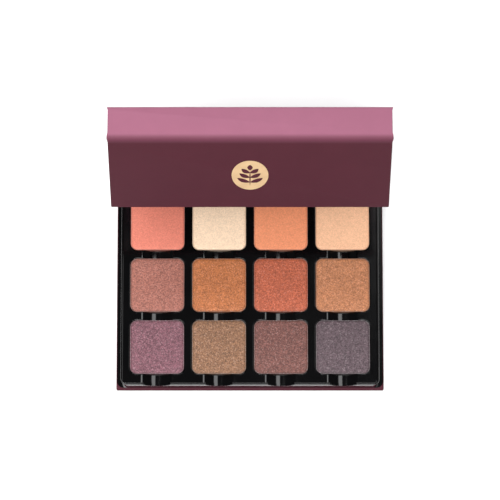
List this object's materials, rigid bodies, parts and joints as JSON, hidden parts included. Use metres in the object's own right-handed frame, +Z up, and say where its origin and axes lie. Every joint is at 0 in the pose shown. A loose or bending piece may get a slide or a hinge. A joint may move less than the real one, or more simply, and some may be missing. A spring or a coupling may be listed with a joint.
{
  "type": "eyeshadow palette",
  "caption": "Slim board makeup palette with a hinged magnetic wrap-over cover, a glossy black tray and square pans of pressed shimmer powder that lift out.",
  "frame": {"origin": "centre of the base board's underside, where the palette stands", "axes": "+X to the right along the rows of pans, +Y towards the rear spine, +Z up"},
  "size_m": [0.13, 0.1151, 0.1172],
  "materials": {
    "cover_paper": "satin-laminated printed paper, deep maroon",
    "greyboard": "raw solid board",
    "lining_paper": "smooth black paper",
    "tray_plastic": "polished black moulded plastic",
    "pan_tin": "tin-plated steel",
    "magnet": "nickel-plated magnet",
    "steel_plate": "bare steel",
    "gold_foil": "hot-stamped satin gold foil",
    "powder_coral": "pressed shimmer powder",
    "powder_ivory": "pressed shimmer powder",
    "powder_apricot": "pressed shimmer powder",
    "powder_champagne": "pressed shimmer powder",
    "powder_rosewood": "pressed shimmer powder",
    "powder_copper": "pressed shimmer powder",
    "powder_terracotta": "pressed shimmer powder",
    "powder_caramel": "pressed shimmer powder",
    "powder_mauve": "pressed shimmer powder",
    "powder_taupe": "pressed shimmer powder",
    "powder_cocoa": "pressed shimmer powder",
    "powder_slate": "pressed shimmer powder"
  },
  "bodies": {
    "case": {"base_board": "greyboard", "base_wrap": "cover_paper", "base_crease": "cover_paper", "closure_plates": "steel_plate", "spine_board": "greyboard", "spine_wrap": "cover_paper", "tray": "tray_plastic", "pan_magnets": "magnet"},
    "hinge_strip": {"hinge_paper": "cover_paper"},
    "lid": {"lid_board": "greyboard", "lid_wrap": "cover_paper", "lid_lining": "lining_paper"},
    "closing_edge": {"edge_crease": "cover_paper", "edge_board": "greyboard", "edge_wrap": "cover_paper", "edge_lining": "lining_paper"},
    "closing_flap": {"flap_crease": "cover_paper", "flap_board": "greyboard", "flap_wrap": "cover_paper", "flap_lining": "lining_paper", "flap_magnets": "magnet", "emblem": "gold_foil"},
    "pan_r1c1": {"pan_row1_col1": "pan_tin", "powder_row1_col1": "powder_coral"},
    "pan_r1c2": {"pan_row1_col2": "pan_tin", "powder_row1_col2": "powder_ivory"},
    "pan_r1c3": {"pan_row1_col3": "pan_tin", "powder_row1_col3": "powder_apricot"},
    "pan_r1c4": {"pan_row1_col4": "pan_tin", "powder_row1_col4": "powder_champagne"},
    "pan_r2c1": {"pan_row2_col1": "pan_tin", "powder_row2_col1": "powder_rosewood"},
    "pan_r2c2": {"pan_row2_col2": "pan_tin", "powder_row2_col2": "powder_copper"},
    "pan_r2c3": {"pan_row2_col3": "pan_tin", "powder_row2_col3": "powder_terracotta"},
    "pan_r2c4": {"pan_row2_col4": "pan_tin", "powder_row2_col4": "powder_caramel"},
    "pan_r3c1": {"pan_row3_col1": "pan_tin", "powder_row3_col1": "powder_mauve"},
    "pan_r3c2": {"pan_row3_col2": "pan_tin", "powder_row3_col2": "powder_taupe"},
    "pan_r3c3": {"pan_row3_col3": "pan_tin", "powder_row3_col3": "powder_cocoa"},
    "pan_r3c4": {"pan_row3_col4": "pan_tin", "powder_row3_col4": "powder_slate"}
  },
  "joints": [
    {"name": "hinge_lower_fold", "type": "hinge", "parent": "case", "child": "hinge_strip", "pos_m": [0, 0.051, 0.01128], "axis": [-1, 0, 0], "range_deg": [-48.7, 41.3]},
    {"name": "hinge_upper_fold", "type": "hinge", "parent": "hinge_strip", "child": "lid", "pos_m": [0, 0.05123, 0.01477], "axis": [-1, 0, 0], "range_deg": [-48.7, 41.3]},
    {"name": "edge_fold", "type": "hinge", "parent": "lid", "child": "closing_edge", "pos_m": [0, 0.06429, 0.11535], "axis": [-1, 0, 0], "range_deg": [0, 90]},
    {"name": "flap_fold", "type": "hinge", "parent": "closing_edge", "child": "closing_flap", "pos_m": [0, 0.04877, 0.11736], "axis": [-1, 0, 0], "range_deg": [-20.1, 69.9]},
    {"name": "pan_r1c1_lift", "type": "slide", "parent": "case", "child": "pan_r1c1", "axis": [0, 0, 1], "range_m": [0, 0.015]},
    {"name": "pan_r1c2_lift", "type": "slide", "parent": "case", "child": "pan_r1c2", "axis": [0, 0, 1], "range_m": [0, 0.015]},
    {"name": "pan_r1c3_lift", "type": "slide", "parent": "case", "child": "pan_r1c3", "axis": [0, 0, 1], "range_m": [0, 0.015]},
    {"name": "pan_r1c4_lift", "type": "slide", "parent": "case", "child": "pan_r1c4", "axis": [0, 0, 1], "range_m": [0, 0.015]},
    {"name": "pan_r2c1_lift", "type": "slide", "parent": "case", "child": "pan_r2c1", "axis": [0, 0, 1], "range_m": [0, 0.015]},
    {"name": "pan_r2c2_lift", "type": "slide", "parent": "case", "child": "pan_r2c2", "axis": [0, 0, 1], "range_m": [0, 0.015]},
    {"name": "pan_r2c3_lift", "type": "slide", "parent": "case", "child": "pan_r2c3", "axis": [0, 0, 1], "range_m": [0, 0.015]},
    {"name": "pan_r2c4_lift", "type": "slide", "parent": "case", "child": "pan_r2c4", "axis": [0, 0, 1], "range_m": [0, 0.015]},
    {"name": "pan_r3c1_lift", "type": "slide", "parent": "case", "child": "pan_r3c1", "axis": [0, 0, 1], "range_m": [0, 0.015]},
    {"name": "pan_r3c2_lift", "type": "slide", "parent": "case", "child": "pan_r3c2", "axis": [0, 0, 1], "range_m": [0, 0.015]},
    {"name": "pan_r3c3_lift", "type": "slide", "parent": "case", "child": "pan_r3c3", "axis": [0, 0, 1], "range_m": [0, 0.015]},
    {"name": "pan_r3c4_lift", "type": "slide", "parent": "case", "child": "pan_r3c4", "axis": [0, 0, 1], "range_m": [0, 0.015]}
  ]
}
